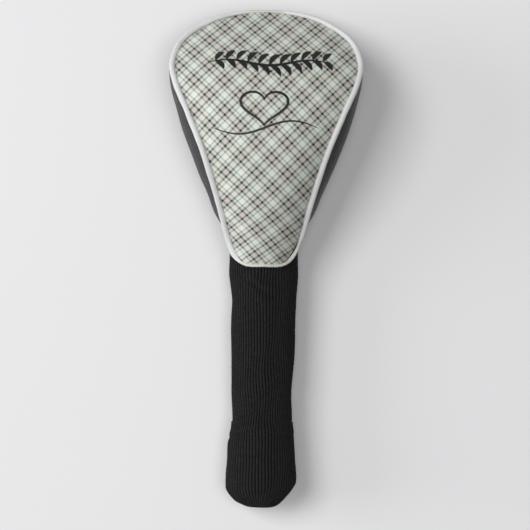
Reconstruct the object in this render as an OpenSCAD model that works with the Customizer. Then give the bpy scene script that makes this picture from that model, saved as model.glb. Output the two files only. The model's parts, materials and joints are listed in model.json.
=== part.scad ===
// Golf driver head cover: a padded pod that holds the club head, a knitted
// sock that grips the shaft and a doubled cuff at its end.
// The cover lies on its back. +Z comes out of the printed front panel, +Y
// points to the crown of the pod, and the sock runs along -Y.

/* [Pod] */
// Half of the pod's width, from the middle to the piping
half_width = 62.5; // [58:0.5:66]
// Distance from the middle of the cover to the piping at the crown
crown_y = 167; // [161:0.5:173]
// Highest point of the front panel above the surface it lies on
pod_height = 84; // [78:0.5:90]
// Thickness of the outer fabric
skin_t = 1.2; // [0.8:0.1:1.4]
// Thickness of the foam between the outer fabric and the lining
foam_t = 3; // [2:0.1:3.4]
// Thickness of the lining
lining_t = 0.8; // [0.5:0.1:1]

/* [Piping] */
// Radius of the piping round the front panel
piping_r = 1.9; // [1.6:0.1:2]
// Radius of the cord inside the piping
cord_r = 1.05; // [0.8:0.05:1.1]
// Radius of the black welt between the gusset and the back panel
welt_r = 0.9; // [0.6:0.1:1]

/* [Sock] */
// Outer radius of the sock where it leaves the pod
sock_r = 23; // [21.5:0.1:23.2]
// Outer radius of the sock where it enters the cuff
sock_end_r = 20.2; // [19.8:0.1:21]
// Thickness of the ribbed knit
knit_t = 1.8; // [1.4:0.1:2]

/* [Cuff] */
// Outer radius of the doubled cuff
cuff_r = 23.5; // [23.3:0.1:24.5]
// Distance from the middle of the cover to the cuff's first edge
cuff_start = 111; // [105:1:115]
// Distance from the middle of the cover to the cuff's mouth
cuff_end = 167.8; // [164:0.2:172]
// Radius of the hole for the club's shaft
shaft_hole_r = 8; // [7:0.1:9]

/* [Hidden] */

axis_z = cuff_r;     // the sock's axis above the surface that the cuff rests on
gap = 0.25;          // clearance between neighbouring layers
crown_squeeze = 2.4; // how far the front panel's edge stays inside the piping's middle

// Right half of the pod's outline from the tongue's middle to the crown's middle.
// Each row: x, y and z of the piping, height of the panel's middle line, height
// of the back seam, bulge of the gusset, and how far the back seam lies inside.
sx = half_width / 62.5;
sy = crown_y / 167;
sz = pod_height / 84;
OUTLINE = [
    [0,         -4,        49.8,      49.8,      7,  5,   5],
    [12 * sx,   -3.6,      46.8,      50,        7,  5,   5],
    [19.5 * sx, 2,         42,        53,        7,  5,   5],
    [24.5 * sx, 14,        43,        60 * sz,   7,  5,   5],
    [31 * sx,   38 * sy,   55 * sz,   73 * sz,   10, 9,   8],
    [41 * sx,   70 * sy,   69 * sz,   83 * sz,   12, 11.7, 8],
    [51.8 * sx, 97 * sy,   71 * sz,   84 * sz,   13, 10.7, 8],
    [60.2 * sx, 117 * sy,  66 * sz,   78 * sz,   14, 7.6, 8],
    [62.3 * sx, 132 * sy,  57 * sz,   69 * sz,   14, 5.5, 8],
    [55 * sx,   148 * sy,  47 * sz,   55 * sz,   15, 5,   9],
    [36 * sx,   160.8 * sy, 40,       42.5,      15, 4.5, 10],
    [16 * sx,   166.3 * sy, 36.5,     37,        15, 4.5, 10],
    [0,         crown_y,   36,        36,        15, 4.5, 10]
];
LAST = len(OUTLINE) - 1;
tongue_t = 1;        // outline position of the tongue's corner
gusset_t = 3;        // outline position where the gusset ends at the sock
padding_t = 3.6;     // outline position where the sewn seam allowance starts
crown_t = 11.7;      // outline position of the last row across a panel

// ---------- curves ----------
// The outline is closed: its left half is the right half's mirror image.
function knot(i) =
    let(k = (i + 2 * LAST) % (2 * LAST))
    k <= LAST ? OUTLINE[k]
    : let(p = OUTLINE[2 * LAST - k]) [-p[0], p[1], p[2], p[3], p[4], p[5], p[6]];
function blend(a, b, c, d, f) =
    0.5 * (2 * b + (c - a) * f + (2 * a - 5 * b + 4 * c - d) * f * f
           + (3 * b - a - 3 * c + d) * f * f * f);
function edge(t) =
    let(i = floor(t))
    blend(knot(i - 1), knot(i), knot(i + 1), knot(i + 2), t - i);

// Direction out of the outline, in plan.
function outward(t) =
    let(step = 0.02)
    let(a = edge(t - step))
    let(b = edge(t + step))
    let(d = [b[0] - a[0], b[1] - a[1]])
    [d[1], -d[0]] / norm(d);

// A point of the outline moved outwards in plan by d.
function beside(t, d) = let(e = edge(t)) let(n = outward(t)) [e[0] + d * n[0], e[1] + d * n[1]];

function span(a, b, n) = [for (k = [0 : n]) a + (b - a) * k / n];

// Positions across a panel, closer together towards its two edges; c0 columns
// are left out at each side.
function across(n, c0) = [for (k = [c0 : n - c0]) -cos(180 * k / n)];

// ---------- surfaces as grids of points ----------
// Front panel: a row runs straight across at each outline position. Its padding
// takes the middle rows and columns of the same grid, lower down.
front_rows = 26;
across_n = 12;
front_flatness = 2.6;
function front_t(k) = tongue_t + (crown_t - tongue_t) * k / front_rows;
function front_grid(drop, k0 = 0, k1 = front_rows, c0 = 0) =
    [for (k = [k0 : k1])
        let(t = front_t(k))
        let(p = beside(t, -crown_squeeze))
        let(e = edge(t))
        [for (u = across(across_n, c0))
            [u * p[0], p[1], e[2] - drop + (e[3] - e[2]) * (1 - pow(abs(u), front_flatness))]]];

// Back panel: flat where it lies down, curling up to the seam at its edge.
back_rows = 20;
back_curl = 3;
crown_lift_y = 120;  // the back leaves the surface from here to the crown
function lift(y) = y < crown_lift_y ? 0 : 14 * pow((y - crown_lift_y) / (crown_y - crown_lift_y), 2);
function back_grid(rise, k0 = 0, k1 = back_rows, c0 = 0) =
    [for (k = [k0 : k1])
        let(t = gusset_t + (crown_t - gusset_t) * k / back_rows)
        let(e = edge(t))
        let(p = beside(t, -e[6]))
        let(low = min(lift(p[1]), e[4]))
        [for (u = across(across_n, c0))
            [u * p[0], p[1], rise + low + (e[4] - low) * pow(abs(u), back_curl)]]];

// Gusset: from the piping down to the back seam, bulging outwards between them.
function gusset_column(t, depth, n) =
    let(e = edge(t))
    let(top = e[2] - piping_r - 2 * gap)
    let(low = e[4] + skin_t + 2 * welt_r + 3 * gap)
    [for (s = span(0, 1, n))
        let(p = beside(t, -depth - e[6] * s + e[5] * sin(180 * s)))
        [p[0], p[1], top + (low - top) * s]];
gusset_columns = 48;
gusset_steps = 5;
function gusset_grid(depth, c0 = 0) =
    [for (k = [c0 : gusset_columns - c0])
        gusset_column(gusset_t + (2 * LAST - 2 * gusset_t) * k / gusset_columns, depth, gusset_steps)];

// ---------- solids from grids ----------
// A closed sheet between two grids of the same size; the first one is the
// outside, with its rows and columns turning anticlockwise seen from outside.
module sheet_solid(outer, inner) {
    rows = len(outer) - 1;
    cols = len(outer[0]) - 1;
    w = cols + 1;
    under = (rows + 1) * w;
    points = concat([for (r = outer) for (p = r) p], [for (r = inner) for (p = r) p]);
    faces = concat(
        [for (r = [0 : rows - 1]) for (c = [0 : cols - 1])
            each [[r * w + c, (r + 1) * w + c, (r + 1) * w + c + 1],
                  [r * w + c, (r + 1) * w + c + 1, r * w + c + 1]]],
        [for (r = [0 : rows - 1]) for (c = [0 : cols - 1])
            each [[under + r * w + c, under + (r + 1) * w + c + 1, under + (r + 1) * w + c],
                  [under + r * w + c, under + r * w + c + 1, under + (r + 1) * w + c + 1]]],
        [for (r = [0 : rows - 1])
            each [[r * w, under + r * w, under + (r + 1) * w],
                  [r * w, under + (r + 1) * w, (r + 1) * w],
                  [r * w + cols, (r + 1) * w + cols, under + (r + 1) * w + cols],
                  [r * w + cols, under + (r + 1) * w + cols, under + r * w + cols]]],
        [for (c = [0 : cols - 1])
            each [[c, c + 1, under + c + 1],
                  [c, under + c + 1, under + c],
                  [rows * w + c, under + rows * w + c, under + rows * w + c + 1],
                  [rows * w + c, under + rows * w + c + 1, rows * w + c + 1]]]);
    polyhedron(points, faces, convexity = 6);
}

// A closed loop swept along the whole outline with the given cross-section,
// whose first value points outwards and second upwards.
module loop_solid(section, rings) {
    m = len(section);
    points = [for (k = [0 : rings - 1])
        let(t = 2 * LAST * k / rings)
        let(e = edge(t))
        let(n = outward(t))
        for (s = section) [e[0] + s[0] * n[0], e[1] + s[0] * n[1], e[2] + s[1]]];
    faces = [for (k = [0 : rings - 1]) for (j = [0 : m - 1])
        let(a = k * m + j)
        let(b = k * m + (j + 1) % m)
        let(c = ((k + 1) % rings) * m + j)
        let(d = ((k + 1) % rings) * m + (j + 1) % m)
        each [[a, b, d], [a, d, c]]];
    polyhedron(points, faces, convexity = 6);
}

// A tube through rings of points, closed at its two ends.
module tube_solid(rings) {
    m = len(rings[0]);
    last = (len(rings) - 1) * m;
    points = [for (r = rings) for (p = r) p];
    faces = concat(
        [for (k = [0 : len(rings) - 2]) for (j = [0 : m - 1])
            let(a = k * m + j)
            let(b = k * m + (j + 1) % m)
            each [[a, b, b + m], [a, b + m, a + m]]],
        [[for (j = [m - 1 : -1 : 0]) j], [for (j = [0 : m - 1]) last + j]]);
    polyhedron(points, faces, convexity = 6);
}

function arc(r, a, b, n) = [for (k = span(a, b, n)) [r * cos(k), r * sin(k)]];

// Turns a profile of [distance along -Y, radius] points round the sock's axis.
module along_sock(profile) {
    translate([0, 0, axis_z])
        rotate([90, 0, 0])
            rotate_extrude($fn = 96)
                polygon([for (p = profile) [p[1], p[0]]]);
}

// ---------- front panel ----------
module front_panel() {
    color("#d8d8cc")
        sheet_solid(front_grid(0), front_grid(skin_t));
}

// The padding's first and last rows, and the columns it leaves out at each side.
front_pad = [7, 21, 2];
module front_layer(top, thickness) {
    sheet_solid(front_grid(top, front_pad[0], front_pad[1], front_pad[2]),
                front_grid(top + thickness, front_pad[0], front_pad[1], front_pad[2]));
}

module front_foam() {
    color("#e9e2c8")
        front_layer(skin_t + gap, foam_t);
}

module front_lining() {
    color("#3a3a3c")
        front_layer(skin_t + foam_t + 2 * gap, lining_t);
}

// ---------- gusset ----------
gusset_pad = 2;      // columns that the padding leaves out at each end

module side_gusset() {
    color("#1b1b1d")
        sheet_solid(gusset_grid(0), gusset_grid(skin_t));
}

module gusset_foam() {
    outer = skin_t + gap;
    color("#e9e2c8")
        sheet_solid(gusset_grid(outer, gusset_pad), gusset_grid(outer + foam_t, gusset_pad));
}

module gusset_lining() {
    outer = skin_t + foam_t + 2 * gap;
    color("#3a3a3c")
        sheet_solid(gusset_grid(outer, gusset_pad), gusset_grid(outer + lining_t, gusset_pad));
}

// ---------- back panel ----------
module back_panel() {
    color("#1b1b1d")
        sheet_solid(back_grid(skin_t), back_grid(0));
}

back_pad = [2, 17, 2];
module back_layer(low, thickness) {
    sheet_solid(back_grid(low + thickness, back_pad[0], back_pad[1], back_pad[2]),
                back_grid(low, back_pad[0], back_pad[1], back_pad[2]));
}

module back_foam() {
    color("#e9e2c8")
        back_layer(skin_t + gap, foam_t);
}

module back_lining() {
    color("#3a3a3c")
        back_layer(skin_t + foam_t + 2 * gap, lining_t);
}

// ---------- piping ----------
// The tape wraps the cord as a C, open towards the seam.
module piping_cover() {
    wall_r = cord_r + 0.15;
    color("#f2f2ef")
        loop_solid(concat(arc(piping_r, -150, 150, 7), arc(wall_r, 150, -150, 6)), 76);
}

module piping_cord() {
    color("#dcdcd6")
        loop_solid(arc(cord_r, 0, 300, 5), 76);
}

// ---------- seams of the pod ----------
// A round welt between the gusset's lower edge and the back panel.
module back_welt() {
    rings = 56;
    sides = 6;
    color("#151517")
        tube_solid([for (t = span(gusset_t, 2 * LAST - gusset_t, rings))
            let(e = edge(t))
            let(p = beside(t, -e[6] - 0.2))
            let(n = outward(t))
            let(z = e[4] + skin_t + gap + welt_r)
            [for (j = [0 : sides - 1])
                let(a = 360 * j / sides)
                [p[0] + welt_r * cos(a) * n[0], p[1] + welt_r * cos(a) * n[1],
                 z + welt_r * sin(a)]]]);
}

// Lock stitches in the seam allowance behind the piping.
stitch_r = 0.3;
stitch_len = 2.6;
module front_seam_stitches() {
    count = 82;
    seam_inset = 4.3;
    seam_drop = 1.7;
    color("#c9c9c4")
        for (k = [0 : count - 1]) {
            t = padding_t + 2 * (LAST - padding_t) * k / (count - 1);
            p = beside(t, -seam_inset);
            d = edge(t + 0.02) - edge(t - 0.02);
            slope = atan2(norm([d[0], d[1]]), d[2]);
            translate([p[0], p[1], edge(t)[2] - seam_drop])
                rotate([0, slope, atan2(d[1], d[0])])
                    cylinder(r = stitch_r, h = stitch_len, center = true, $fn = 16);
        }
}

// ---------- mouth and neck ----------
neck_top = -12;      // how far the sock reaches into the pod's mouth
neck_end = 44;       // where the bending part of the sock ends
tube_end = 76;       // where the part of the sock that stretches begins

function sock_outer(s) = sock_r + (sock_end_r - sock_r) * max(s, 0) / cuff_start;

// One length of the knitted tube between two distances down the sock.
module knit_length(a, b) {
    color("#141416")
        along_sock([[a, sock_outer(a) - knit_t], [b, sock_outer(b) - knit_t],
                    [b, sock_outer(b)], [a, sock_outer(a)]]);
}

module mouth_binding() {
    binding_w = 3.4;
    binding_t = 1.2;
    inner = sock_r - knit_t - 0.4;
    far = neck_top - gap;
    color("#222224")
        along_sock([[far - binding_w, inner], [far, inner], [far, inner + binding_t],
                    [far - binding_w, inner + binding_t]]);
}

module neck_elastic() {
    elastic_w = 8;
    elastic_t = 1.2;
    start = 9;
    outer = sock_outer(start + elastic_w) - knit_t - gap;
    color("#e4e4e0")
        along_sock([[start, outer - elastic_t], [start + elastic_w, outer - elastic_t],
                    [start + elastic_w, outer], [start, outer]]);
}

module sock_neck() {
    knit_length(neck_top, neck_end);
}

module sock_tube() {
    knit_length(neck_end + gap, tube_end);
}

module sock_end() {
    knit_length(tube_end + gap, cuff_start + 2);
}

// ---------- cuff ----------
mouth_lip_t = 1;     // wall of the turned-in mouth
mouth_depth = 6;     // length of the turned-in mouth
dome_start = cuff_end - 14.6;
dome_power = 1.4;

// The gathered end: from the full radius down to the shaft hole.
function dome(from, to, big, n) =
    [for (k = [0 : n])
        let(q = sin(90 * k / n))
        [from + (to - from) * q,
         shaft_hole_r + (big - shaft_hole_r) * pow(1 - pow(q, dome_power), 1 / dome_power)]];

// The first edge of the cuff, rounded over where it is sewn to the sock.
function shoulder(outer) =
    [[cuff_start, outer - 2.1], [cuff_start + 0.6, outer - 1], [cuff_start + 2.5, outer - 0.4],
     [cuff_start + 12, outer]];

function back_to_front(list) = [for (k = [len(list) - 1 : -1 : 0]) list[k]];

module cuff_outer() {
    inner_r = cuff_r - knit_t;
    seat_r = sock_end_r + gap;
    lip_r = shaft_hole_r + mouth_lip_t;
    outside = concat(shoulder(cuff_r), dome(dome_start, cuff_end, cuff_r, 12));
    inside = [for (p = dome(dome_start, cuff_end - knit_t, inner_r, 12)) if (p[1] > lip_r) p];
    lip = [[cuff_end - knit_t, lip_r], [cuff_end - mouth_depth, lip_r],
           [cuff_end - mouth_depth, shaft_hole_r]];
    color("#161618")
        along_sock(concat([[cuff_start, seat_r]], outside, back_to_front(concat(
            [[cuff_start + 4, seat_r], [cuff_start + 12, inner_r]], inside, lip))));
}

module cuff_inner() {
    from = cuff_start + 4.4;
    to = cuff_end - mouth_depth - gap;
    outer = cuff_r - knit_t - gap;
    outside = concat([[from, sock_end_r - 0.2], [cuff_start + 12.4, outer - 0.2]],
                     dome(dome_start - 5, to, outer, 10));
    inside = concat([[from, sock_end_r - knit_t], [cuff_start + 12.4, outer - knit_t]],
                    dome(dome_start - 5, to - knit_t, outer - knit_t, 10));
    color("#141416")
        along_sock(concat(outside, back_to_front(inside)));
}

module cuff_elastic() {
    inner = shaft_hole_r + mouth_lip_t + gap;
    from = cuff_end - mouth_depth + 0.1;
    color("#e4e4e0")
        along_sock([[from, inner], [from + 2.2, inner], [from + 2.2, inner + 2],
                    [from, inner + 2]]);
}

// Stitches that hold the cuff's first edge down on the sock.
module hem_stitches() {
    count = 36;
    stitch_s = cuff_start - stitch_r - 0.1;
    stitch_at_r = sock_end_r + stitch_r + 0.25;
    color("#101012")
        for (k = [0 : count - 1])
            translate([0, 0, axis_z])
                rotate([0, 360 * k / count, 0])
                    translate([0, -stitch_s, stitch_at_r])
                        rotate([0, 90, 0])
                            cylinder(r = stitch_r, h = stitch_len, center = true, $fn = 16);
}

front_panel();
front_foam();
front_lining();
side_gusset();
gusset_foam();
gusset_lining();
back_panel();
back_foam();
back_lining();
piping_cover();
piping_cord();
front_seam_stitches();
back_welt();
mouth_binding();
neck_elastic();
sock_neck();
sock_tube();
sock_end();
cuff_outer();
cuff_inner();
cuff_elastic();
hem_stitches();
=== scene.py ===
"""Looks of a golf driver head cover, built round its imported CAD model.

The cover lies on its back: +Z comes out of the printed front panel, +Y points to
the crown of the pod, and the ribbed sock and its cuff run along -Y.
"""

import json
import math

import bpy
import numpy as np
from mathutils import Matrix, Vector


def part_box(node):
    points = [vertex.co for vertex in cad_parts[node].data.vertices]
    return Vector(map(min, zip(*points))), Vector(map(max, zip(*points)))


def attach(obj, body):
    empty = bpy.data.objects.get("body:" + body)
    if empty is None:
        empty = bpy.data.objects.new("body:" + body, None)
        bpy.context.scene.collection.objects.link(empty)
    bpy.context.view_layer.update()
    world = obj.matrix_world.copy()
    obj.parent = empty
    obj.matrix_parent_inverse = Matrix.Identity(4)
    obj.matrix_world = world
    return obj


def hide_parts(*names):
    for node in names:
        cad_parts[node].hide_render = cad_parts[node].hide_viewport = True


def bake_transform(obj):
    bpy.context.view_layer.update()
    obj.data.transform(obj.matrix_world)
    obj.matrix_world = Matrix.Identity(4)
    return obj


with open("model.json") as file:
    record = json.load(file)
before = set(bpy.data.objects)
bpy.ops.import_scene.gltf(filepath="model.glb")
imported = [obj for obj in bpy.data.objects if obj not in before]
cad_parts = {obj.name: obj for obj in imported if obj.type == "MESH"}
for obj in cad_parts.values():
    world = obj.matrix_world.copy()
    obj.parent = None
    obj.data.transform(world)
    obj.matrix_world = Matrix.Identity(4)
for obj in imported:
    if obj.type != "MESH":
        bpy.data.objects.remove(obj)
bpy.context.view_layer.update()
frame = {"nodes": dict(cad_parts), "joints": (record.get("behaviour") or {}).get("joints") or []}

MM = 0.001

# ---------------------------------------------------------------- dimensions, mm
PIPING_R = 1.9
WELT_R = 0.9
SKIN_T = 1.2
KNIT_T = 1.8
SHAFT_HOLE_R = 8.0
RIBS = 66
CROWN_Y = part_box("piping_cover")[1].y / MM - PIPING_R
CUFF_END = -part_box("cuff_outer")[0].y / MM
CUFF_START = -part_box("cuff_outer")[1].y / MM
CUFF_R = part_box("cuff_outer")[1].x / MM
SOCK_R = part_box("sock_neck")[1].x / MM
SOCK_END_R = 20.1        # radius of the sock where the cuff starts
AXIS_Z = CUFF_R
SOCK_TOP = -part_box("sock_neck")[1].y / MM
TUBE_END = -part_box("sock_tube")[0].y / MM
JOINT = {j["name"]: j for j in frame["joints"]}

# Right half of the pod's outline, from the tongue's middle to the crown's middle:
# x, y, z of the piping, height of the panel's middle line, height of the back
# seam, bulge of the gusset, how far the back seam lies inside the piping.
OUTLINE = np.array([
    [0, -4, 49.8, 49.8, 7, 5, 5],
    [12, -3.6, 46.8, 50, 7, 5, 5],
    [19.5, 2, 42, 53, 7, 5, 5],
    [24.5, 14, 43, 60, 7, 5, 5],
    [31, 38, 55, 73, 10, 9, 8],
    [41, 70, 69, 83, 12, 11.7, 8],
    [51.8, 97, 71, 84, 13, 10.7, 8],
    [60.2, 117, 66, 78, 14, 7.6, 8],
    [62.3, 132, 57, 69, 14, 5.5, 8],
    [55, 148, 47, 55, 15, 5, 9],
    [36, 160.8, 40, 42.5, 15, 4.5, 10],
    [16, 166.3, 36.5, 37, 15, 4.5, 10],
    [0, CROWN_Y, 36, 36, 15, 4.5, 10],
])
LAST = len(OUTLINE) - 1
# Places along the outline: the panel's first row on the tongue's edge, the gusset's
# end at the sock, and the panel's last row, just short of the crown's middle.
TONGUE_T, GUSSET_T, CROWN_T = 1.0, 3.0, 11.9
TONGUE_LEAN = 0.93   # width of the tongue's right corner against its left


# ---------------------------------------------------------------- curves
def knot(i):
    """The outline's row at index i; its left half mirrors its right half, but the
    tongue's right corner hangs a little further in."""
    k = np.mod(i, 2 * LAST)
    rows = OUTLINE[np.where(k <= LAST, k, 2 * LAST - k)].copy()
    rows[..., 0] *= np.where(k <= LAST, np.where(k < GUSSET_T, TONGUE_LEAN, 1), -1)
    return rows


def edge(t):
    """The outline's row at place t, on a smooth curve through its rows."""
    t = np.asarray(t, float)
    i = np.floor(t).astype(int)
    f = (t - i)[..., None]
    a, b, c, d = knot(i - 1), knot(i), knot(i + 1), knot(i + 2)
    return 0.5 * (2 * b + (c - a) * f + (2 * a - 5 * b + 4 * c - d) * f ** 2
                  + (3 * b - a - 3 * c + d) * f ** 3)


def outward(t):
    """The direction out of the outline, in plan."""
    d = edge(np.asarray(t) + 0.02)[..., :2] - edge(np.asarray(t) - 0.02)[..., :2]
    n = np.stack([d[..., 1], -d[..., 0]], -1)
    return n / np.linalg.norm(n, axis=-1, keepdims=True)


def smooth(x, a, b):
    """0 below a, 1 above b, and a smooth step between them."""
    t = np.clip((x - a) / (b - a), 0, 1)
    return t * t * (3 - 2 * t)


def waves(x, y, seed, count, long, short):
    """A smooth random field with a spread of about 1, from plane waves."""
    rng = np.random.default_rng(seed)
    total = np.zeros(np.broadcast(x, y).shape)
    for _ in range(count):
        length = long * (short / long) ** rng.random()
        angle, phase = rng.random(2) * 2 * math.pi
        along = x * math.cos(angle) + y * math.sin(angle)
        total += np.sin(along * 2 * math.pi / length + phase)
    return total / math.sqrt(count / 2)


def run_length(line):
    """The distance along a line of points to each of them, from 0."""
    return np.concatenate([[0], np.cumsum(np.linalg.norm(np.diff(line, axis=0), axis=1))])


# ---------------------------------------------------------------- meshes
def new_object(name, mesh):
    obj = bpy.data.objects.new(name, mesh)
    bpy.context.scene.collection.objects.link(obj)
    return obj


def mesh_object(name, points, faces, uv=None, sharp=()):
    """A smooth-shaded mesh from points in mm; uv is one (u, v) in mm for each point,
    and sharp lists the pairs of points whose edges stay sharp."""
    mesh = bpy.data.meshes.new(name)
    mesh.from_pydata((np.asarray(points) * MM).tolist(), [], [list(f) for f in faces])
    mesh.update()
    mesh.shade_smooth()
    if uv is not None:
        layer = mesh.uv_layers.new(name="flat")
        corner = np.zeros(len(mesh.loops), int)
        mesh.loops.foreach_get("vertex_index", corner)
        layer.data.foreach_set("uv", (np.asarray(uv) * MM)[corner].astype(np.float32).ravel())
    if len(sharp):
        wanted = {tuple(sorted(pair)) for pair in sharp}
        mark = mesh.attributes.new("sharp_edge", "BOOLEAN", "EDGE")
        mark.data.foreach_set(
            "value", [tuple(sorted(e.vertices)) in wanted for e in mesh.edges])
    return new_object(name, mesh)


def grid_faces(rows, cols, wrap=False, start=0, flip=False):
    """Quads of a grid of rows x cols points; with wrap the columns join up."""
    faces = []
    for r in range(rows - 1):
        for c in range(cols if wrap else cols - 1):
            d = (c + 1) % cols
            quad = [start + r * cols + c, start + (r + 1) * cols + c,
                    start + (r + 1) * cols + d, start + r * cols + d]
            faces.append(quad[::-1] if flip else quad)
    return faces


def grid_normals(grid, wrap):
    """The normals of a grid's points, on the side its unflipped quads face."""
    down = np.gradient(grid, axis=0)
    if wrap:
        along = np.roll(grid, -1, 1) - np.roll(grid, 1, 1)
    else:
        along = np.gradient(grid, axis=1)
    n = np.cross(down, along)
    return n / np.maximum(np.linalg.norm(n, axis=-1, keepdims=True), 1e-9)


def rim(outer, inner):
    """Quads between two lists of points, and the pairs of points along them."""
    steps = range(len(outer) - 1)
    faces = [[outer[k], inner[k], inner[k + 1], outer[k + 1]] for k in steps]
    pairs = [(line[k], line[k + 1]) for line in (outer, inner) for k in steps]
    return faces, pairs


def cloth_object(name, grid, thickness, uv=None, wrap=False, flip=False):
    """A closed cloth: its outside is the grid, and its inside lies under that."""
    rows, cols = grid.shape[:2]
    side = -1 if flip else 1
    inside = grid - side * thickness * grid_normals(grid, wrap)
    under = rows * cols
    faces = grid_faces(rows, cols, wrap, 0, flip)
    faces += grid_faces(rows, cols, wrap, under, not flip)
    first = list(range(cols)) + ([0] if wrap else [])
    last = [(rows - 1) * cols + c for c in first]
    lines = [(first, 1), (last, -1)]
    if not wrap:
        left = [r * cols for r in range(rows)]
        lines += [(left, -1), ([r + cols - 1 for r in left], 1)]
    sharp = []
    for line, way in lines:
        quads, pairs = rim(line, [k + under for k in line])
        faces += [q if way * side > 0 else q[::-1] for q in quads]
        sharp += pairs
    points = np.concatenate([grid.reshape(-1, 3), inside.reshape(-1, 3)])
    if uv is not None:
        uv = np.concatenate([uv.reshape(-1, 2)] * 2)
    return mesh_object(name, points, faces, uv, sharp)


# ---------------------------------------------------------------- pod surfaces
FRONT_FLATNESS = 2.6     # higher is flatter in the middle and steeper at the edges


def front_height(t, u):
    """Height of the front panel before its padding, across it from u = -1 to 1."""
    e = edge(t)
    return e[..., 2] + (e[..., 3] - e[..., 2]) * (1 - np.abs(u) ** FRONT_FLATNESS)


def beside(t, d):
    """Points in plan at distance d outside the outline."""
    return edge(t)[..., :2] + np.asarray(d)[..., None] * outward(t)


def distance_to_outline(x, y):
    """How far points in plan lie from the outline, in mm."""
    line = edge(np.linspace(0, 2 * LAST, 900))[:, :2]
    out = np.empty(x.shape)
    for index in np.ndindex(x.shape[:1]):
        dx = x[index][..., None] - line[:, 0]
        dy = y[index][..., None] - line[:, 1]
        out[index] = np.sqrt((dx ** 2 + dy ** 2).min(-1))
    return out


# The front panel's surface on a fine grid: rows run straight across the panel.
ROWS_T = np.concatenate([np.linspace(TONGUE_T, 9, 150), np.linspace(9, CROWN_T, 60)[1:]])
ACROSS = -np.cos(np.linspace(0, math.pi, 141))
PANEL_TUCK = 1.4     # how far the panel's edge stays inside the piping's middle
PANEL_INSET = 0.5    # the same at the tongue's edge and at the crown
PUFF = 1.1           # how far the padding rises from the panel's edge to its middle
PUFF_REACH = 3.2     # distance from the edge over which it rises
PANEL_SINK = 0.6     # how far the edge lies below the piping's middle, but at the crown


def front_surface():
    """The padded front panel: rows run straight across it between the two edges."""
    crown = smooth(ROWS_T, 10.4, 11.8)
    inset = (PANEL_INSET + (PANEL_TUCK - PANEL_INSET) * smooth(ROWS_T, TONGUE_T, 2.6)
             - (PANEL_TUCK - PANEL_INSET) * crown)
    right = beside(ROWS_T, -inset)[:, :1]
    left = beside(2 * LAST - ROWS_T, -inset)[:, :1]
    x = left + (right - left) * (ACROSS + 1) / 2
    y = np.repeat(beside(ROWS_T, -inset)[:, 1:], len(ACROSS), 1)
    z = front_height(ROWS_T[:, None], ACROSS[None, :])
    away = distance_to_outline(x, y)
    puff = PUFF * (1 - np.exp(-np.maximum(away - PANEL_TUCK, 0) / PUFF_REACH))
    puff -= PANEL_SINK * (1 - crown[:, None])
    pucker = 0.16 * np.exp(-away / 7) * waves(x, y, 3, 26, 11, 4.5)
    ripple = 0.10 * waves(x, y, 5, 18, 60, 18)
    return np.stack([x, y, z + puff + pucker + ripple], -1)


FRONT = front_surface()


STRETCH_Y = (40, 90)        # mm along the pod over which the cloth's stretch sets in
TWIST = math.radians(5.5)   # how far the cloth is turned at the tongue
TWIST_FADE = (5, 75)        # mm along the cloth over which the turn fades
TWIST_V = 30                # mm along the cloth of the point it turns about


def flat_pattern(grid):
    """Where each point of the panel lies on the flat cloth, in mm: straight across,
    and along the middle line. Towards the crown only half of the change in height
    counts, as if the cloth were stretched there."""
    middle = grid[:, grid.shape[1] // 2]
    step = np.diff(middle, axis=0)
    step[:, 2] *= 1 - 0.5 * smooth(middle[1:, 1], *STRETCH_Y)
    v = np.concatenate([[0], np.cumsum(np.linalg.norm(step, axis=1))])
    u, v = np.broadcast_arrays(grid[..., 0], v[:, None])
    twist = TWIST * (1 - smooth(v, *TWIST_FADE))
    c, s = np.cos(twist), np.sin(twist)
    v = v - TWIST_V
    return np.stack([u * c - v * s, u * s + v * c + TWIST_V], -1)


def on_front(x, y, proud):
    """Points on the front panel at plan places (x, y), lifted by proud."""
    row_y = FRONT[:, 0, 1]
    r = np.interp(y, row_y, np.arange(len(row_y)))
    r0 = np.clip(r.astype(int), 0, len(row_y) - 2)
    f = r - r0
    z = np.empty(len(x))
    for k in range(len(x)):
        a = np.interp(x[k], FRONT[r0[k], :, 0], FRONT[r0[k], :, 2])
        b = np.interp(x[k], FRONT[r0[k] + 1, :, 0], FRONT[r0[k] + 1, :, 2])
        z[k] = a + (b - a) * f[k]
    return np.stack([x, y, z + proud], -1)


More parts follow.
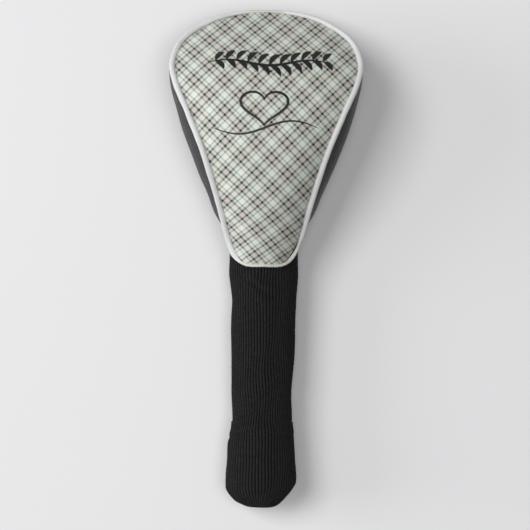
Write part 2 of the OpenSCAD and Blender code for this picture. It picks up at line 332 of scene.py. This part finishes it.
# ---------------------------------------------------------------- materials
class Nodes:
    """Short calls for building a material's node tree."""

    def __init__(self, name, roughness, sheen=0.0, sheen_roughness=0.5, specular=0.5):
        self.material = bpy.data.materials.new(name)
        self.material.use_nodes = True
        self.tree = self.material.node_tree
        self.shader = self.tree.nodes["Principled BSDF"]
        self.set(self.shader, "Roughness", roughness)
        self.set(self.shader, "Sheen Weight", sheen)
        self.set(self.shader, "Sheen Roughness", sheen_roughness)
        self.set(self.shader, "Specular IOR Level", specular)

    def set(self, node, socket, value):
        if isinstance(value, bpy.types.NodeSocket):
            self.tree.links.new(value, node.inputs[socket])
        else:
            node.inputs[socket].default_value = value

    def node(self, kind, out=0, inputs=None, **settings):
        n = self.tree.nodes.new(kind)
        for key, value in settings.items():
            setattr(n, key, value)
        for socket, value in (inputs or {}).items():
            self.set(n, socket, value)
        return n.outputs[out]

    def math(self, operation, a, b=0.0, c=0.0):
        return self.node("ShaderNodeMath", inputs={0: a, 1: b, 2: c}, operation=operation)

    def ramp(self, factor, stops):
        n = self.tree.nodes.new("ShaderNodeValToRGB")
        elements = n.color_ramp.elements
        while len(elements) < len(stops):
            elements.new(0.5)
        for element, (place, _) in zip(elements, stops):
            element.position = place
        for element, (_, colour) in zip(elements, stops):
            element.color = (*colour, 1)
        self.set(n, 0, factor)
        return n.outputs[0]

    def mix(self, factor, a, b, blend="MIX"):
        n = self.tree.nodes.new("ShaderNodeMix")
        n.data_type = "RGBA"
        n.blend_type = blend
        self.set(n, 0, factor)
        self.set(n, 6, a if isinstance(a, bpy.types.NodeSocket) else (*a, 1))
        self.set(n, 7, b if isinstance(b, bpy.types.NodeSocket) else (*b, 1))
        return n.outputs[2]

    def noise(self, scale, detail=3.0, roughness=0.55):
        inputs = {"Scale": scale, "Detail": detail, "Roughness": roughness,
                  "Vector": self.node("ShaderNodeTexCoord", "Object")}
        return self.node("ShaderNodeTexNoise", inputs=inputs)

    def place(self, axis):
        """One of the object's own coordinates, in metres."""
        where = self.node("ShaderNodeTexCoord", "Object")
        return self.node("ShaderNodeSeparateXYZ", axis, {0: where})

    def flat(self):
        """The two coordinates on the flat cloth, in metres."""
        uv = self.node("ShaderNodeUVMap", uv_map="flat")
        return [self.node("ShaderNodeSeparateXYZ", k, {0: uv}) for k in (0, 1)]

    def bump(self, height, distance, strength):
        inputs = {"Height": height, "Distance": distance, "Strength": strength}
        return self.node("ShaderNodeBump", inputs=inputs)

    def finish(self, colour, normal=None):
        self.set(self.shader, "Base Color",
                 colour if isinstance(colour, bpy.types.NodeSocket) else (*colour, 1))
        if normal is not None:
            self.set(self.shader, "Normal", normal)
        return self.material


def srgb(r, g, b):
    """A colour given in display values from 0 to 255."""
    return tuple((c / 255 / 12.92) if c <= 10 else ((c / 255 + 0.055) / 1.055) ** 2.4
                 for c in (r, g, b))


def thread_weave(m, u, v, pitch):
    """Height of a plain weave on cloth coordinates u, v in metres."""
    turns = 2 * math.pi / pitch
    a = m.math("SINE", m.math("MULTIPLY", u, turns))
    b = m.math("SINE", m.math("MULTIPLY", v, turns))
    return m.math("MULTIPLY", a, b)


THREAD = 0.00055     # metres between threads of the printed cloth
SETT = 14.0          # mm between repeats of the plaid, along each set of stripes
SETT_SKEW = 1.045    # how much wider the second set repeats
SETT_U, SETT_V = -4.3, 6.4      # where the plaid's first crossing lies, in mm


def plaid():
    """Diagonal tartan: each set of threads carries the same stripes, and they mix."""
    m = Nodes("printed_plaid", 0.7, sheen=0.05, specular=0.2)
    u, v = m.flat()
    u = m.math("SUBTRACT", u, SETT_U * MM)
    v = m.math("SUBTRACT", v, SETT_V * MM)
    warm = srgb(194, 189, 183)
    base = srgb(184, 186, 176)
    dark = srgb(18, 22, 16)
    white = srgb(196, 205, 193)
    sage = srgb(104, 124, 102)
    light = srgb(217, 219, 213)
    half = SETT / 2
    stops = [(0.0, warm), (1.35, warm), (1.55, dark), (2.65, dark), (2.85, base), (3.0, base),
             (3.2, white), (4.1, white), (4.3, base), (4.45, base), (4.7, sage),
             (5.1, sage), (5.5, light), (half, light)]
    stops = [(place / half, colour) for place, colour in stops]
    sides = []
    for sign, repeat in (("ADD", SETT), ("SUBTRACT", SETT * SETT_SKEW)):
        along = m.math("DIVIDE", m.math(sign, u, v), repeat * MM * math.sqrt(2))
        phase = m.math("FRACT", m.math("ADD", along, 0.5))
        phase = m.math("ABSOLUTE", m.math("SUBTRACT", phase, 0.5))
        sides.append(m.ramp(m.math("MULTIPLY", phase, 2.0), stops))
    colour = m.mix(0.5, sides[0], sides[1])
    blush = m.ramp(m.noise(55.0, 1.0), [(0.42, (0, 0, 0)), (0.62, (1, 1, 1))])
    blush = m.math("MULTIPLY", blush, 0.10)
    pink = m.mix(1.0, colour, srgb(255, 236, 230), "MULTIPLY")
    colour = m.mix(blush, colour, pink)
    weave = thread_weave(m, u, v, THREAD)
    normal = m.bump(weave, 0.00006, 0.6)
    return m.finish(colour, normal)


def shades(shade, low, high):
    """A shade's two colours, low and high times its display value."""
    return [srgb(*[c * k for c in shade]) for k in (low, high)]


def dark_cloth(name, shade, weave_pitch=0.0007):
    m = Nodes(name, 0.6, sheen=0.22, sheen_roughness=0.4, specular=0.08)
    x, y, z = (m.place(k) for k in range(3))
    ribs = m.math("SINE", m.math("MULTIPLY", m.math("ADD", m.math("ADD", x, y), z),
                                 2 * math.pi / weave_pitch))
    cross = m.math("SINE", m.math("MULTIPLY", m.math("SUBTRACT", y, z),
                                  2 * math.pi / weave_pitch / 1.7))
    height = m.math("ADD", ribs, m.math("MULTIPLY", cross, 0.6))
    soft = m.noise(120.0, 3.0)
    colour = m.mix(soft, *shades(shade, 0.8, 1.25))
    normal = m.bump(height, 0.00008, 0.5)
    return m.finish(colour, normal)


def white_tape():
    m = Nodes("white_piping", 0.6, sheen=0.03, specular=0.2)
    x, y, z = (m.place(k) for k in range(3))
    twill = m.math("SINE", m.math("MULTIPLY", m.math("ADD", m.math("ADD", x, y), z),
                                  2 * math.pi / 0.0006))
    colour = m.mix(m.noise(260.0, 4.0), srgb(206, 206, 206), srgb(220, 220, 221))
    return m.finish(colour, m.bump(twill, 0.00005, 0.35))


def knit(name, shade):
    """Rib knit: V stitches along each rib, on coordinates around and along the tube, with
    painted shade darkening the grooves between the ribs.
    """
    m = Nodes(name, 0.9, sheen=0.05, sheen_roughness=0.4, specular=0.0)
    u, v = m.flat()
    rib = m.math("SUBTRACT", m.math("FRACT", m.math("MULTIPLY", u, 1 / MM)), 0.5)
    slant = m.math("MULTIPLY", m.math("ABSOLUTE", rib), 1.6 * MM)
    row = m.math("SINE", m.math("MULTIPLY", m.math("ADD", v, slant), 2 * math.pi / 0.0013))
    fuzz = m.noise(900.0, 4.0, 0.7)
    height = m.math("ADD", row, m.math("MULTIPLY", fuzz, 1.4))
    colour = m.mix(m.noise(420.0, 4.0, 0.7), *shades(shade, 0.65, 1.5))
    # painted shade: the colour darkens in each groove between the ribs, down to 0.15 at its
    # middle
    groove = m.ramp(m.math("ABSOLUTE", rib), [(0.22, (1, 1, 1)), (0.5, (0.15, 0.15, 0.15))])
    colour = m.mix(1.0, colour, groove, "MULTIPLY")
    return m.finish(colour, m.bump(height, 0.00018, 0.8))


def foam_sheet():
    m = Nodes("foam_sheet", 0.95, specular=0.1)
    cells = m.node("ShaderNodeTexVoronoi", 0, {
        "Scale": 1400.0, "Vector": m.node("ShaderNodeTexCoord", "Object")})
    colour = m.mix(cells, srgb(196, 186, 150), srgb(238, 230, 202))
    return m.finish(colour, m.bump(cells, 0.0003, 0.6))


def thread(name, shade):
    m = Nodes(name, 0.8, sheen=0.03, specular=0.1)
    twist = m.node("ShaderNodeTexWave", 1, {"Scale": 900.0, "Distortion": 1.0,
                                            "Vector": m.node("ShaderNodeTexCoord", "Object")},
                   bands_direction="DIAGONAL")
    colour = m.mix(twist, *shades(shade, 0.8, 1))
    return m.finish(colour, m.bump(twist, 0.0001, 0.5))


def elastic_band():
    m = Nodes("braided_elastic", 0.7, sheen=0.1, specular=0.3)
    cords = m.math("SINE", m.math("MULTIPLY", m.place(1), 2 * math.pi / 0.0009))
    colour = m.mix(m.noise(700.0), srgb(205, 205, 200), srgb(232, 232, 228))
    return m.finish(colour, m.bump(cords, 0.0002, 0.8))


def ink():
    m = Nodes("printed_ink", 0.5, specular=0.35)
    u, v = m.place(0), m.place(1)
    colour = m.mix(m.noise(300.0), srgb(22, 23, 22), srgb(34, 35, 33))
    return m.finish(colour, m.bump(thread_weave(m, u, v, THREAD), 0.00005, 0.5))


def floor_paper():
    m = Nodes("studio_floor", 0.9, specular=0.1)
    colour = m.mix(m.noise(3.0, 2.0), srgb(226, 226, 227), srgb(229, 229, 230))
    return m.finish(colour)


MAT = {
    "plaid": plaid(),
    "black_cloth": dark_cloth("black_polyester", (32, 32, 34)),
    "black_tape": dark_cloth("black_tape", (34, 34, 36), 0.0006),
    "lining": dark_cloth("lining_tricot", (58, 58, 61), 0.0009),
    "white_tape": white_tape(),
    "knit": knit("rib_knit", (36, 36, 37)),
    "foam": foam_sheet(),
    "cord": thread("cotton_cord", (226, 224, 216)),
    "light_thread": thread("light_thread", (214, 214, 210)),
    "black_thread": thread("black_thread", (30, 30, 32)),
    "elastic": elastic_band(),
    "ink": ink(),
    "floor": floor_paper(),
}


def dress(obj, material, body=None, stands_for=()):
    """Material, slot, body and the CAD nodes that a piece stands for."""
    obj.data.materials.clear()
    obj.data.materials.append(MAT[material])
    if body:
        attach(obj, body)
    if stands_for:
        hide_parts(*stands_for)
    return obj


# ---------------------------------------------------------------- pod pieces
CLOTH_T = 0.9        # thickness of the pod's visible cloth
GUSSET_TUCK = 4.0    # how far the gusset's ends pull in where they meet the sock


def make_front_panel():
    obj = cloth_object("front_panel_cloth", FRONT, CLOTH_T, flat_pattern(FRONT), flip=True)
    dress(obj, "plaid", "pod", ["front_panel"])


def gusset_points(t, s, depth=0.0):
    """The gusset's outside at outline place t, from s = 0 at the top to 1 below."""
    e = edge(t)
    top = e[..., 2] - PIPING_R * 0.5
    low = e[..., 4] + SKIN_T + WELT_R
    end = np.minimum(t, 2 * LAST - t) - GUSSET_T
    tuck = GUSSET_TUCK * (1 - smooth(end, 0, 1.0))
    offset = -depth - tuck - e[..., 6] * s + e[..., 5] * np.sin(math.pi * s)
    p = beside(t, offset)
    return np.concatenate([p, (top + (low - top) * s)[..., None]], -1)


def make_gusset():
    t = np.linspace(GUSSET_T, 2 * LAST - GUSSET_T, 520)[:, None]
    s = np.linspace(0, 1, 46)[None, :]
    t, s = np.broadcast_arrays(t, s)
    arc = np.broadcast_to(run_length(edge(t[:, 0])[:, :3])[:, None], t.shape)
    seam = np.exp(-s / 0.10) + np.exp(-(1 - s) / 0.10)
    pucker = 0.22 * seam * waves(arc, s * 8, 7, 22, 12, 4)
    drape = 0.35 * np.sin(math.pi * s) * waves(arc, s * 40, 9, 14, 90, 26)
    grid = gusset_points(t, s, -(pucker + drape))
    obj = cloth_object("side_gusset_cloth", grid, CLOTH_T, flip=True)
    dress(obj, "black_cloth", "pod", ["side_gusset"])


BACK_CURL = 3            # power of the back panel's height across: higher turns up later
CROWN_LIFT_Y = 120.0     # where its middle starts to rise towards the crown
CROWN_LIFT = 14          # how far it rises there, up to the seam's own height


def back_grid(rows, cols):
    """The back panel's outside: flat where it lies, and turned up to its seam."""
    t = np.linspace(GUSSET_T, LAST - 0.01, rows)
    e = edge(t)
    p = beside(t, -e[:, 6])
    u = -np.cos(np.linspace(0, math.pi, cols))
    rise = CROWN_LIFT * (np.maximum(p[:, 1] - CROWN_LIFT_Y, 0) / (CROWN_Y - CROWN_LIFT_Y)) ** 2
    low = np.minimum(rise, e[:, 4])[:, None]
    z = low + (e[:, 4:5] - low) * np.abs(u) ** BACK_CURL
    return np.stack([p[:, :1] * u, np.repeat(p[:, 1:], cols, 1), z], -1)


def make_back_panel():
    grid = back_grid(150, 91)
    x, y = grid[..., 0], grid[..., 1]
    lying = smooth(grid[..., 2], 0.4, 3.0)
    grid[..., 2] += 0.15 + lying * 0.2 * waves(x, y, 13, 18, 40, 10)
    grid[..., 2] = np.maximum(grid[..., 2], 0.02)
    obj = cloth_object("back_panel_cloth", grid, CLOTH_T)
    dress(obj, "black_cloth", "pod", ["back_panel"])


def swept_tube(name, centre, across, up, radius, sides, closed):
    """A tube round centre; across and up span its sections and radius is per point."""
    angle = np.linspace(0, 2 * math.pi, sides, endpoint=False)
    ring = (np.cos(angle)[None, :, None] * across[:, None]
            + np.sin(angle)[None, :, None] * up[:, None])
    points = centre[:, None] + radius[:, None, None] * ring
    rows = len(centre)
    faces = grid_faces(rows, sides, wrap=True)
    if closed:
        last = (rows - 1) * sides
        faces += [[last + c, c, (c + 1) % sides, last + (c + 1) % sides]
                  for c in range(sides)]
    else:
        faces += [list(range(sides)), list(range((rows - 1) * sides, rows * sides))[::-1]]
    return mesh_object(name, points.reshape(-1, 3), faces)


def section_axes(t):
    """For a tube along the outline: out of the pod in plan, and straight up."""
    across = np.concatenate([outward(t), np.zeros((len(t), 1))], 1)
    return across, np.tile([0.0, 0.0, 1.0], (len(t), 1))


TONGUE_BEAD, CROWN_BEAD = 0.24, 0.38     # the bead's size there, against PIPING_R


def make_piping():
    """White bias tape round a cord: a bead that thins at the tongue and the crown."""
    count = 900
    t = np.linspace(0, 2 * LAST, count, endpoint=False)
    centre = edge(t)[:, :3]
    across, up = section_axes(t)
    arc = np.cumsum(np.linalg.norm(np.diff(centre, axis=0, append=centre[:1]), axis=1))
    radius = PIPING_R * (1 + 0.035 * waves(arc, 0 * arc, 17, 16, 30, 3.5))
    tongue = np.where(t < LAST, smooth(t, 2.2, 3.8), smooth(2 * LAST - t, 0.8, 2.4))
    from_crown = np.abs(t - LAST)
    crown = 0.55 * smooth(from_crown, 0.2, 1.4) + 0.45 * smooth(from_crown, 1.0, 3.4)
    radius *= TONGUE_BEAD + (1 - TONGUE_BEAD) * tongue
    radius *= CROWN_BEAD + (1 - CROWN_BEAD) * crown
    obj = swept_tube("piping_bead", centre, across, up, radius, 16, True)
    dress(obj, "white_tape", "pod", ["piping_cover"])


def make_welt():
    """Black tape over the seam between the gusset and the back panel."""
    t = np.linspace(GUSSET_T, 2 * LAST - GUSSET_T, 600)
    e = edge(t)
    z = e[:, 4] + SKIN_T + WELT_R * 0.6
    centre = np.concatenate([beside(t, -e[:, 6] - 0.1), z[:, None]], 1)
    across, up = section_axes(t)
    arc = run_length(centre)
    radius = 1.25 * WELT_R * (1 + 0.05 * waves(arc, 0 * arc, 19, 14, 24, 4))
    obj = swept_tube("back_seam_welt", centre, across, up, radius, 12, False)
    dress(obj, "black_tape", "pod", ["back_welt"])


# ---------------------------------------------------------------- printed motif
INK_LIFT = 0.13      # how far the ink lies above the cloth, mm


def ribbon(name, paths):
    """Printed strokes: each path is (x, y, half width) along a curve in plan."""
    points, faces = [], []
    across = np.linspace(-1, 1, 7)
    for x, y, half in paths:
        dx, dy = np.gradient(x), np.gradient(y)
        size = np.hypot(dx, dy)
        nx, ny = -dy / size, dx / size
        start = sum(len(p) for p in points)
        rows = [on_front(x + nx * half * k, y + ny * half * k, INK_LIFT) for k in across]
        grid = np.stack(rows, 1)
        points.append(grid.reshape(-1, 3))
        faces += grid_faces(len(x), len(across), start=start)
    obj = mesh_object(name, np.concatenate(points), faces)
    return dress(obj, "ink", "pod")


def heart_path(cx, cy, width, height, half):
    a = np.linspace(0, 2 * math.pi, 240)
    x = np.sin(a) ** 3
    y = (13 * np.cos(a) - 5 * np.cos(2 * a) - 2 * np.cos(3 * a) - np.cos(4 * a)) / 16
    w = half * (0.5 + 0.8 * np.abs(np.sin(a)))
    return cx + x * width / 2, cy + y * height / 2, w


def wave_path(x0, x1, y, rise, half, turns=1.0):
    s = np.linspace(0, 1, 160)
    return (x0 + (x1 - x0) * s, y + rise * np.sin(2 * math.pi * turns * s),
            half * (0.15 + np.sin(math.pi * s) ** 0.7))


def leaf_path(x, y, angle, length, half):
    s = np.linspace(0, 1, 40)
    bow = 0.16 * length * np.sin(math.pi * s)
    dx, dy = math.cos(angle), math.sin(angle)
    return (x + dx * length * s - dy * bow, y + dy * length * s + dx * bow,
            half * np.sin(math.pi * s) ** 0.8 + 0.02)


def make_motif():
    """A generic heart over a wavy line, and a leafy sprig above them."""
    heart_y = 98.0
    strokes = [heart_path(-1.0, heart_y + 2.0, 31, 25, 0.72),
               wave_path(-35, 35, heart_y - 12.0, -4.4, 0.65)]
    ribbon("printed_heart", strokes)
    sprig_x, sprig_y, span, rise = 2.0, 129.5, 41.0, 2.0
    strokes = [wave_path(sprig_x - span, sprig_x + span, sprig_y, rise, 0.8, turns=1.5)]
    for k in range(-5, 6):
        s = 0.5 + k / 11.5
        x = sprig_x + span * (2 * s - 1)
        y = sprig_y + rise * math.sin(3 * math.pi * s)
        for side in (-1, 1):
            lean = math.radians(46 * side)
            strokes.append(leaf_path(x, y, lean, 10.8 - 0.5 * abs(k), 1.7))
    ribbon("printed_sprig", strokes)


# ---------------------------------------------------------------- sock and cuff
RIB_STEPS = 8        # points round each rib
RIB_MIDDLE = 0.75    # part of a rib's height that lies inside the tube's radius
SLANT = 0.09         # slope of the knit's rows near the mouth: the left reaches further
LYING_Z = 0.05       # the lowest that the knit goes above the floor, mm

# Folds in the sock: place round and along it, slant, half length, half width, and how
# far it stands out, in mm.
SOCK_FOLDS = (
    (-3, 19.5, 0.6, 12, 2.4, -1.2), (-4, 15, 0.55, 12, 2.8, 1.7), (-2, 24, 0.6, 12, 2.8, 1.2),
    (6, 20, 0.5, 9, 3, 0.6), (14, 33, -0.4, 14, 3, -0.4), (-20, 24, 0.5, 9, 2.4, -0.5),
    (-36, 27, 0, 18, 8, -0.9), (-36, 9, 0, 18, 7, 0.9), (36, 12, 0, 18, 9, 0.5),
    (2, 60, 0.2, 22, 4.5, -0.3), (-8, 88, -0.15, 24, 4, 0.25), (36, 90, 0, 24, 15, -1.0),
)


def rib_height(turn):
    """Outline of the ribs round the tube, from 0 in a groove to 1 on a rib."""
    return np.abs(np.sin(math.pi * RIBS * turn)) ** 0.7


def wrapped(angle):
    """The same angle between -pi and pi, 0 at the top of the tube."""
    return (angle + math.pi) % (2 * math.pi) - math.pi


def sock_radius(s):
    left = 1 - np.clip(s, 0, CUFF_START) / CUFF_START
    return SOCK_END_R + (SOCK_R - SOCK_END_R - 0.1) * left ** 1.2


def knit_tube(name, s, radius, bulge, inner=KNIT_T - 0.5, rib=0.85):
    """Ribbed tube: s is the distance along -Y of each ring, radius its size, inner
    the knit's thickness and rib the height of the ribs."""
    around = RIBS * RIB_STEPS
    turn = np.arange(around) / around
    angle = 2 * math.pi * turn
    height = (rib_height(turn) - RIB_MIDDLE) * rib
    r = radius[:, None] + height[None, :] + bulge(s[:, None], angle[None, :])
    wander = 0.032 * waves(20 * np.cos(angle), s[:, None] + 20 * np.sin(angle), 37, 16, 70, 22)
    x = r * np.sin(angle + wander)
    z = AXIS_Z + r * np.cos(angle + wander)
    sag = smooth(s, CUFF_START + 30, CUFF_START + 45) * (1 - smooth(s, CUFF_END - 6, CUFF_END))
    y = -s[:, None] + SLANT * sag[:, None] * x
    points = np.stack([x, y, np.maximum(z, LYING_Z)], -1)
    uv = np.stack(np.broadcast_arrays(turn * RIBS, s[:, None]), -1).astype(float)
    return cloth_object(name, points, inner, uv, wrap=True)


def sock_creases(s, angle):
    """Soft folds under the tongue and slack along the tube, in mm."""
    x = wrapped(angle) * SOCK_R
    fold = np.zeros(np.broadcast(s, x).shape)
    for cx, cs, slant, length, width, depth in SOCK_FOLDS:
        across = (s - cs) - slant * (x - cx)
        along = (x - cx) + slant * (s - cs)
        fold = fold + depth * np.exp(-(across / width) ** 2 - (along / length) ** 2)
    return fold + 0.16 * waves(x, s, 23, 16, 70, 16)


def make_sock():
    """The knit is one tube on the real thing, cut here where the joints bend it."""
    swing = -JOINT["neck_swing"]["pos_m"][1] / MM
    lift = -JOINT["neck_lift"]["pos_m"][1] / MM
    middle = (swing + lift) / 2
    parts = (("sock_knit_mouth", SOCK_TOP, middle, ["sock_neck"]),
             ("sock_knit_tube", middle, TUBE_END, ["sock_tube"]),
             ("sock_knit_end", TUBE_END, CUFF_START + 2, ["sock_end"]))
    made = {}
    for name, a, b, stands_for in parts:
        s = np.linspace(a, b, int((b - a) / 0.8) + 2)
        obj = knit_tube(name, s, sock_radius(s), sock_creases)
        made[name] = dress(obj, "knit", None, stands_for)
    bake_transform(made["sock_knit_mouth"])
    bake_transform(made["sock_knit_tube"])
    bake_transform(made["sock_knit_end"])


HEM = 8.0            # length over which the cuff's first edge rolls up, mm
DOME = 14.6          # length of the gathered end


def cuff_profile():
    """Distance down the sock and radius along the cuff's outside, from its first
    edge round the gathered end to the lip inside the mouth."""
    dome_start = CUFF_END - DOME
    hem = np.linspace(0, 1, 16)
    wall = np.linspace(0, 1, 44)[1:]
    q = np.sin(np.linspace(0, math.pi / 2, 34)[1:])
    lip = np.linspace(0, 1, 8)[1:]
    hem_r, wall_r, lip_r = CUFF_R - 1.7, CUFF_R - 0.1, SHAFT_HOLE_R + 0.2
    s = [CUFF_START - 1.2 + (HEM + 1.2) * hem,
         CUFF_START + HEM + (dome_start - CUFF_START - HEM) * wall,
         dome_start + (CUFF_END - dome_start) * q,
         CUFF_END - 6 * lip]
    r = [SOCK_END_R + 0.2 + (hem_r - SOCK_END_R - 0.2) * hem ** 0.42,
         hem_r + (wall_r - hem_r) * np.sin(wall * math.pi / 2),
         lip_r + (wall_r - lip_r) * (1 - q ** 1.4) ** (1 / 1.4),
         np.full(lip.shape, lip_r)]
    return np.concatenate(s), np.concatenate(r)


def cuff_folds(s, angle):
    """Gathers that deepen towards the mouth, slack in the wall, the rolled hem and
    the cuff's lean to its left, in mm."""
    gather = smooth(s, CUFF_END - 16, CUFF_END - 3) * 0.2
    pleats = np.cos(15 * angle + 0.6) + 0.5 * np.cos(23 * angle + 2.0)
    a = wrapped(angle)
    x = a * CUFF_R
    slack = 0.22 * waves(x, s, 29, 14, 60, 14)
    edge_s = s - CUFF_START - 9.5 - 0.9 * np.sin(x / 9)
    roll = 0.6 * np.exp(-((edge_s + 3) / 2.2) ** 2) - 0.5 * np.exp(-(edge_s / 1.3) ** 2)
    roll = roll * (0.55 + 0.45 * np.cos(a + 0.8))
    lean = 0.8 * np.exp(-((a + math.pi / 2) / 0.7) ** 2)
    lean = lean * smooth(s, CUFF_START + 6, CUFF_START + 14)
    return gather * pleats - 0.2 + slack + roll + lean


def make_cuff():
    s, r = cuff_profile()
    obj = knit_tube("cuff_knit", s, r, cuff_folds, inner=1.2, rib=0.9)
    dress(obj, "knit", "cuff", ["cuff_outer"])


# ---------------------------------------------------------------- CAD nodes that stay
def finish_cad_nodes():
    """Hidden layers, bands and stitches keep their CAD shape and get a finish."""
    keeps = {
        "front_foam": "foam", "gusset_foam": "foam", "back_foam": "foam",
        "front_lining": "lining", "gusset_lining": "lining", "back_lining": "lining",
        "piping_cord": "cord", "front_seam_stitches": "light_thread",
        "mouth_binding": "black_tape", "neck_elastic": "elastic",
        "cuff_inner": "knit", "cuff_elastic": "elastic", "hem_stitches": "black_thread",
    }
    for node, material in keeps.items():
        obj = frame["nodes"][node]
        obj.data.materials.clear()
        obj.data.materials.append(MAT[material])


# ---------------------------------------------------------------- studio
CAMERA_HEIGHT = 1.5
VIEW_WIDTH = 0.355       # width of the picture at the height of the piping, metres
PLANE_Z = 0.045          # that height
CAMERA_PLACE = (0.0007, -0.0037, CAMERA_HEIGHT)
CAMERA_ROLL = math.radians(0.7)
FLOOR_SIZE = 4.0         # half of the floor's side
FLOOR_DROP = 0.0002      # how far the floor lies below the cover

# Square lights: name, place, the point each looks at, side and power, in metres
# and watts.
LIGHTS = (
    ("key", (-1.6, 0.68, 3.1), (0.15, 0, 0), 1.6, 67),
    ("left_side", (-2.2, 0.1, 0.7), (0, 0, 0.03), 1.4, 27),
    ("top_fill", (0.35, -0.1, 3.2), (0.15, 0, 0), 1.4, 40),
)
AMBIENT = 0.075          # strength of the light from all round
AMBIENT_COLOUR = (0.95, 0.97, 1.0, 1)


def make_camera():
    data = bpy.data.cameras.new("camera")
    data.sensor_width = 36
    data.lens = 36 * (CAMERA_HEIGHT - PLANE_Z) / VIEW_WIDTH
    camera = bpy.data.objects.new("camera", data)
    camera.location = CAMERA_PLACE
    camera.rotation_euler = (0, 0, CAMERA_ROLL)
    bpy.context.scene.collection.objects.link(camera)
    bpy.context.scene.camera = camera


def area_light(name, place, target, size, power):
    data = bpy.data.lights.new(name, "AREA")
    data.shape = "SQUARE"
    data.size = size
    data.energy = power
    light = bpy.data.objects.new(name, data)
    light.location = place
    light.rotation_euler = (Vector(target) - Vector(place)).to_track_quat("-Z", "Y").to_euler()
    bpy.context.scene.collection.objects.link(light)


def make_studio():
    corners = [(x * FLOOR_SIZE, y * FLOOR_SIZE, -FLOOR_DROP)
               for x, y in ((-1, -1), (1, -1), (1, 1), (-1, 1))]
    mesh = bpy.data.meshes.new("studio_floor")
    mesh.from_pydata(corners, [], [(0, 1, 2, 3)])
    floor = new_object("studio_floor", mesh)
    floor.data.materials.append(MAT["floor"])
    for light in LIGHTS:
        area_light(*light)
    world = bpy.data.worlds.new("studio")
    world.use_nodes = True
    background = world.node_tree.nodes["Background"]
    background.inputs[0].default_value = AMBIENT_COLOUR
    background.inputs[1].default_value = AMBIENT
    scene = bpy.context.scene
    scene.world = world
    scene.view_settings.view_transform = "Standard"


make_camera()
make_studio()
make_front_panel()
make_gusset()
make_back_panel()
make_piping()
make_welt()
make_motif()
make_sock()
make_cuff()
finish_cad_nodes()
